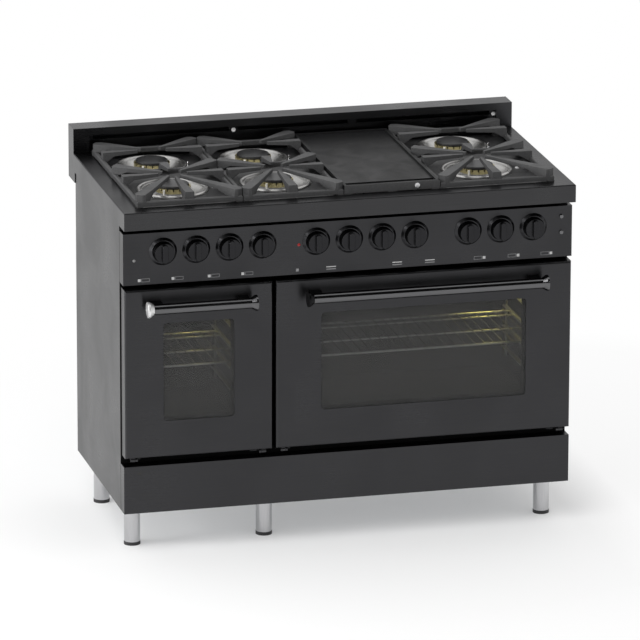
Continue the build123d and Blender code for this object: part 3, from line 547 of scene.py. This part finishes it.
def printPlate(mesh, place, outline, hole=None, thick=0.12):
    # thin flat print with an optional opening, drawn in millimetres on the place's XY plane
    def ring(points, height):
        return [mesh.verts.new(place @ Vector((x * mm, y * mm, height * mm))) for x, y in points]

    count = len(outline)
    outer = [ring(outline, 0.0), ring(outline, thick)]
    for step in range(count):
        after = (step + 1) % count
        mesh.faces.new((outer[0][step], outer[0][after], outer[1][after], outer[1][step]))
    if not hole:
        mesh.faces.new(outer[1])
        return
    inner = [ring(hole, 0.0), ring(hole, thick)]
    for step in range(count):
        after = (step + 1) % count
        mesh.faces.new((inner[0][after], inner[0][step], inner[1][step], inner[1][after]))
        mesh.faces.new((outer[1][step], outer[1][after], inner[1][after], inner[1][step]))


def addObject(name, data):
    made = bpy.data.objects.new(name, data)
    scene.collection.objects.link(made)
    return made


def addMesh(name, mesh, finish):
    data = bpy.data.meshes.new(name)
    mesh.to_mesh(data)
    mesh.free()
    data.materials.append(finish)
    return addObject(name, data)


def makePiece(name, mesh, finish, body, crease=32):
    bmesh.ops.recalc_face_normals(mesh, faces=mesh.faces)
    piece = addMesh(name, mesh, finish)
    piece.data.polygons.foreach_set("use_smooth", [True] * len(piece.data.polygons))
    piece.data.set_sharp_from_angle(angle=math.radians(crease))
    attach(piece, body)
    return piece


def facer(axis, quarters):  # a place whose local Z comes out that way
    turn = Matrix.Rotation(quarters * math.pi / 2, 4, axis)
    return lambda x, y, z: Matrix.Translation((x, y, z)) @ turn


facingFront = facer("X", 1)
facingBack = facer("X", -1)
facingUp = facer("X", 0)
facingLeft = facer("Y", -1)
facingRight = facer("Y", 1)

crossArms = (1.0, 0.36, 0.36, 0.36, 0.36, 0.36)  # cross recess on 24 steps
screwHead = ((4.2, 0.0), (4.2, 0.5), (3.7, 1.2), (2.6, 1.7), (2.1, 1.8, crossArms), (1.7, 0.9, crossArms),
             (0, 0.8))
boltHead = ((6.0, 0.0), (6.0, 0.4), (5.6, 0.7), (5.0, 0.7), (5.0, 2.4), (4.4, 3.0), (2.6, 3.1), (2.4, 1.4),
            (0, 1.3))


def screwRow(name, places, finish, body, head=screwHead):
    mesh = bmesh.new()
    for place in places:
        lathe(mesh, place, head)
    return makePiece(name, mesh, finish, body)


guardScrews = {"recess": 48.0, "drop": 33.0, "places": (-165, 561)}
screwY = guardHigh.y - guardScrews["recess"] * mm
screwZ = guardHigh.z - guardScrews["drop"] * mm
# guard screws painted near white, a painted highlight
screwRow("guardScrews", [facingFront(x * mm, screwY, screwZ) for x in guardScrews["places"]],
         screwPaintedGlint, "chassis", boltHead)

backScrews = {"margin": 12.0, "columns": 6, "rows": 4}
backLow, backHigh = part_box("back_panel")
margin = backScrews["margin"] * mm
lastColumn = backScrews["columns"] - 1
backPlaces = []
for column in range(backScrews["columns"]):
    x = backLow.x + margin + column / lastColumn * (backHigh.x - backLow.x - 2 * margin)
    for z in (backLow.z + margin, guardLow.z - margin):
        backPlaces.append(facingBack(x, backHigh.y, z))
for row in range(1, backScrews["rows"]):
    z = backLow.z + row / backScrews["rows"] * (guardLow.z - backLow.z)
    for x in (backLow.x + margin, backHigh.x - margin):
        backPlaces.append(facingBack(x, backHigh.y, z))
screwRow("backScrews", backPlaces, finishes["hinge_steel"], "chassis")

linerScrews = {"margin": 11.0, "seat": 4.0}
margin = linerScrews["margin"] * mm
for side in ("left", "right"):
    low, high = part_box(side + "_door_liner")
    seatY = low.y + linerScrews["seat"] * mm
    middleX = (low.x + high.x) / 2
    places = [facingBack(x, seatY, z) for x in (low.x + margin, middleX, high.x - margin)
              for z in (low.z + margin, high.z - margin)]
    screwRow(side + "LinerScrews", places, finishes["hinge_steel"], side + "_door")

burnerColumns = (-422.0, -144.5, 408.0)
burnerRows = (-67.5, 178.5)
panBolts = {"aside": 110.5, "behind": -3.0}
boltY = (burnerRows[0] + panBolts["behind"]) * mm
# pan bolts painted near white, a painted highlight
screwRow("panBolts", [facingUp((x + panBolts["aside"]) * mm, boltY, panLevel) for x in burnerColumns],
         screwPaintedGlint, "chassis", boltHead)

flameSensor = {"aside": 88.0, "behind": -47.0, "steps": 16,
               "profile": ((3.4, 0.0), (3.4, 7.0), (2.2, 8.0), (2.2, 17.0), (1.7, 18.4), (0, 19.0))}
sensorY = (burnerRows[1] + flameSensor["behind"]) * mm
sensorMesh = bmesh.new()
for x in burnerColumns:
    place = facingUp((x + flameSensor["aside"]) * mm, sensorY, panLevel)
    lathe(sensorMesh, place, flameSensor["profile"], flameSensor["steps"])
makePiece("flameSensors", sensorMesh, brightSteel, "chassis")
print("screws and sensors placed")

bowlRim = {"foot": 12.5, "steps": 72,  # rolled lip of the steel bowl
           "profile": ((95.0, -1.4), (95.0, 1.0), (93.6, 4.0), (91.0, 5.6), (88.5, 5.6), (86.0, 4.2),
                       (84.0, 1.4), (82.6, -0.8))}
rimZ = cookHigh.z - bowlRim["foot"] * mm
rimMesh = bmesh.new()
for x in burnerColumns:
    for y in burnerRows:
        lathe(rimMesh, facingUp(x * mm, y * mm, rimZ), bowlRim["profile"], bowlRim["steps"])
makePiece("bowlRims", rimMesh, finishes["bowl_steel"], "chassis", crease=60)
print("bowl rims rolled")

rack = {"frame": 3.0, "wire": 1.3, "cross": 2.4, "pitch": 26.0, "corner": 14.0, "crossRods": (0.43, 0.86),
        "sides": 8}


def buildRack(name, x, y, z):
    edge, rod, wire = (rack[key] * mm for key in ("frame", "cross", "wire"))
    inX = (x[0] + edge, x[1] - edge)
    inY = (y[0] + edge, y[1] - edge)
    outline = bmesh.new()
    tube(outline, roundedLoop(inX, inY, (z[0] + z[1]) / 2, rack["corner"] * mm), edge, closed=True)
    for share in rack["crossRods"]:
        crossY = y[0] + (y[1] - y[0]) * share
        tube(outline, [Vector((end, crossY, z[0] + rod)) for end in inX], rod, rack["sides"])
    grid = bmesh.new()
    wires = round((x[1] - x[0]) / (rack["pitch"] * mm))
    for index in range(1, wires):
        wireX = x[0] + (x[1] - x[0]) * index / wires
        tube(grid, [Vector((wireX, end, z[1] - wire)) for end in inY], wire, rack["sides"])
    # the frame takes the rack chrome and the wires take its darker copy, painted shade
    for part, made, finish in (("Frame", outline, finishes["rack_chrome"]), ("Wires", grid, wiresPaintedShade)):
        piece = makePiece(name + part, made, finish, "chassis", crease=50)
        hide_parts("oven_racks")


rackLow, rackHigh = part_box("oven_racks")
rackDepth = (rackLow.y, rackHigh.y)
rackRise = (rackLow.z, rackHigh.z)
rackInset = rackLow.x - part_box("left_oven_cavity")[0].x
buildRack("leftRack", (rackLow.x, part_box("left_oven_cavity")[1].x - rackInset), rackDepth, rackRise)
buildRack("rightRack", (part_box("right_oven_cavity")[0].x + rackInset, rackHigh.x), rackDepth, rackRise)
print("racks built")

marks = {"rise": 12.0, "square": 7.5, "frame": (22.0, 9.0), "gap": 2.0, "line": 0.9, "bar": (26.0, 3.2),
         "barShare": 0.8, "leftBurners": (1, 2, 3, 4), "ovens": (6, 7, 8), "rightBurners": (9, 10, 11),
         "offsets": (-63.5, -62.5, -54.5, -53.5, -51.0, -49.0, 41.0, 41.0, 44.5, 48.5, 49.5)}


def rectangle(centre, width, height):
    return [(centre + sx * width / 2, sy * height / 2) for sx, sy in ((-1, -1), (1, -1), (1, 1), (-1, 1))]


def squareMark(ink, place):
    printPlate(ink, place, rectangle(0, marks["square"], marks["square"]))


def burnerMark(inks, place, side):  # which of the burners this knob serves
    wide, tall = marks["frame"]
    line = 2 * marks["line"]
    squareMark(inks["white"], place)
    shift = side * (marks["square"] / 2 + marks["gap"] + wide / 2)
    printPlate(inks["grey"], place, rectangle(shift, wide, tall), rectangle(shift, wide - line, tall - line))


def ovenMark(inks, place):  # bars for heat above and below
    wide, tall = marks["bar"]
    for ink, rise in (("grey", -tall), ("white", tall)):
        raised = place @ Matrix.Translation((0, rise * mm, 0))
        printPlate(inks[ink], raised, rectangle(0, wide, tall * marks["barShare"]))


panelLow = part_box("control_panel")[0]
markZ = panelLow.z + marks["rise"] * mm
inks = {"white": bmesh.new(), "grey": bmesh.new()}
for number, offset in enumerate(marks["offsets"], 1):
    knobLow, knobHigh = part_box(f"knob_{number}")
    place = facingFront((knobLow.x + knobHigh.x) / 2 + offset * mm, panelLow.y, markZ)
    if number in marks["leftBurners"]:
        burnerMark(inks, place, 1)
    elif number in marks["rightBurners"]:
        burnerMark(inks, place, -1)
    elif number in marks["ovens"]:
        ovenMark(inks, place)
    else:
        squareMark(inks["grey"], place)
makePiece("panelMarksWhite", inks["white"], whiteInk, "chassis")
makePiece("panelMarksGrey", inks["grey"], greyInk, "chassis")
print("panel printed")

handleDisc = {"steps": 48, "profile": ((18.6, 0.0), (18.6, 0.5), (18.0, 0.9), (12.0, 0.9), (11.5, 0.6),
                                       (11.0, 0.9), (4.0, 0.9), (3.4, 0.5), (0, 0.5))}
for side, place in (("left", facingLeft), ("right", facingRight)):
    low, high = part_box(side + "_handle_bar")
    endX = low.x if side == "left" else high.x
    barEnd = place(endX, (low.y + high.y) / 2, (low.z + high.z) / 2)
    mesh = bmesh.new()
    lathe(mesh, barEnd, handleDisc["profile"], handleDisc["steps"])
    makePiece(side + "HandleDisc", mesh, capSteel, side + "_door")

gasThread = {"x": 538.0, "z": 829.0, "radius": 10.6, "pitch": 1.8, "turns": 12, "crest": 0.5, "start": 1.2,
             "steps": 20, "sides": 6}
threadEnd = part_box("gas_manifold")[1].y
threadPoints = []
for step in range(gasThread["turns"] * gasThread["steps"] + 1):
    across, up = circle(step, gasThread["steps"])
    back = gasThread["start"] + gasThread["pitch"] * step / gasThread["steps"]
    threadPoints.append(Vector(((gasThread["x"] + gasThread["radius"] * across) * mm, threadEnd - back * mm,
                                (gasThread["z"] + gasThread["radius"] * up) * mm)))
threadMesh = bmesh.new()
tube(threadMesh, threadPoints, gasThread["crest"] * mm, gasThread["sides"])
makePiece("gasThread", threadMesh, finishes["pipe_steel"], "chassis", crease=80)
print("handle ends and thread made")


def seenDirectly(tree):  # camera, mirror and glass rays
    path = addNode(tree, "LightPath").outputs
    direct = math2(tree, "MAXIMUM", path["Is Camera Ray"], path["Is Glossy Ray"])
    return math2(tree, "MAXIMUM", direct, path["Is Transmission Ray"])


def matteFinish(name, tone, roughness):
    material, tree, shader = startFinish(name)
    dress(tree, shader, {"Base Color": shade((tone,) * 3), "Roughness": roughness, "Specular IOR Level": 0.0})
    return material, tree, shader


# paintedShadowLift mixes white emission into the floor's shadow near the object, and paintedRightLight into the
# floor right of sideFrom: painted light that washes out the cast shadow
studio = {"fill": 0.86, "floorTone": 0.9, "floorSize": 14.0, "paintedShadowLift": 0.2, "fadeFrom": 0.95, "fadeTo": 1.7,
          "squeeze": (0.78, 1.0, 1.0), "sideFrom": 0.58, "sideTo": 0.82, "paintedRightLight": 0.8}
white = (1, 1, 1, 1)
world = bpy.data.worlds.new("studio")
world.use_nodes = True
scene.world = world
tree = world.node_tree
level = remap(tree, seenDirectly(tree), 0.0, 1.0, studio["fill"], 1.0)
dress(tree, tree.nodes["Background"], {"Color": white, "Strength": level})

paleFloor, tree, shader = matteFinish("paleFloor", studio["floorTone"], 0.9)
point = addNode(tree, "VectorMath", {0: objectPoint(tree), 1: studio["squeeze"]}, operation="MULTIPLY")
away = addNode(tree, "VectorMath", {0: point.outputs[0]}, operation="LENGTH").outputs["Value"]
aside = addNode(tree, "SeparateXYZ", {0: objectPoint(tree)}).outputs["X"]
# far from the object the floor fades to the white backdrop; nearer, paintedShadowLift and paintedRightLight
# whiten its shadow, painted light
fade = math2(tree, "MAXIMUM", remap(tree, away, studio["fadeFrom"], studio["fadeTo"], studio["paintedShadowLift"], 1.0),
             remap(tree, aside, studio["sideFrom"], studio["sideTo"], 0.0, studio["paintedRightLight"]))
glow = addNode(tree, "Emission", {"Color": white, "Strength": 1.0})
backdropAndPaintedLight = math2(tree, "MULTIPLY", fade, seenDirectly(tree))
blend = addNode(tree, "MixShader", {0: backdropAndPaintedLight, 1: shader.outputs[0], 2: glow.outputs[0]})
feed(tree, tree.nodes["Material Output"].inputs["Surface"], blend.outputs[0])

floorMesh = bmesh.new()
bmesh.ops.create_grid(floorMesh, x_segments=2, y_segments=2, size=studio["floorSize"] / 2)
floor = addMesh("floor", floorMesh, paleFloor)

flag = {"low": (-6.0, 1.8), "high": (-2.4, 6.0), "reach": 9.0, "tone": 0.02}  # dark card only reflections see
flagMesh = bmesh.new()
flagEnds = (("low", -1), ("low", 1), ("high", 1), ("high", -1))
flagMesh.faces.new([flagMesh.verts.new((side * flag["reach"], *flag[end])) for end, side in flagEnds])
flagCard = addMesh("darkFlag", flagMesh, matteFinish("flagCloth", flag["tone"], 1.0)[0])
for sight in ("camera", "diffuse", "transmission", "volume_scatter", "shadow"):
    setattr(flagCard, "visible_" + sight, False)


def addLamp(name, kind, power, place):
    light = bpy.data.lights.new(name, kind)
    light.energy = power
    lamp = addObject(name, light)
    lamp.location = place
    return light, lamp


lamps = {
    "keyLamp": {"place": (-3.6, -3.8, 5.2), "aim": (0.0, 0.0, 0.5), "size": 4.0, "power": 170.0},
    "leftLamp": {"place": (-5.0, -0.3, 1.4), "aim": (0.0, -0.1, 0.6), "size": 2.0, "power": 110.0},
}
for name, look in lamps.items():
    light, lamp = addLamp(name, "AREA", look["power"], look["place"])
    light.size = look["size"]
    lamp.rotation_euler = (Vector(look["aim"]) - Vector(look["place"])).to_track_quat("-Z", "Y").to_euler()

ovenGlow = {"color": (1.0, 0.88, 0.22), "radius": 0.03, "off": 0.06, "left": 0.4, "right": 1.5}
lampLow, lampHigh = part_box("oven_lamps")
for side, wallX in (("left", leftLamp), ("right", rightLamp)):
    place = (wallX - ovenGlow["off"], (lampLow.y + lampHigh.y) / 2, (lampLow.z + lampHigh.z) / 2)
    light = addLamp(side + "OvenGlow", "POINT", ovenGlow[side], place)[0]
    light.color = ovenGlow["color"]
    light.shadow_soft_size = ovenGlow["radius"]

view = {"lens": 368.64, "sensor": 36.0, "clip": 100.0, "place": (-4.15886, -16.27255, 5.48648),
        "yaw": 14.3243, "pitch": 16.4618, "roll": 0.1553}
lens = bpy.data.cameras.new("photoCamera")
lens.lens = view["lens"]
lens.sensor_width = view["sensor"]
lens.clip_end = view["clip"]
camera = addObject("photoCamera", lens)
camera.matrix_world = (Matrix.Translation(view["place"])
                       @ Matrix.Rotation(math.radians(-view["yaw"]), 4, "Z")
                       @ Matrix.Rotation(math.radians(90 - view["pitch"]), 4, "X")
                       @ Matrix.Rotation(math.radians(view["roll"]), 4, "Z"))
scene.camera = camera
scene.view_settings.view_transform = "Standard"
print("studio set")
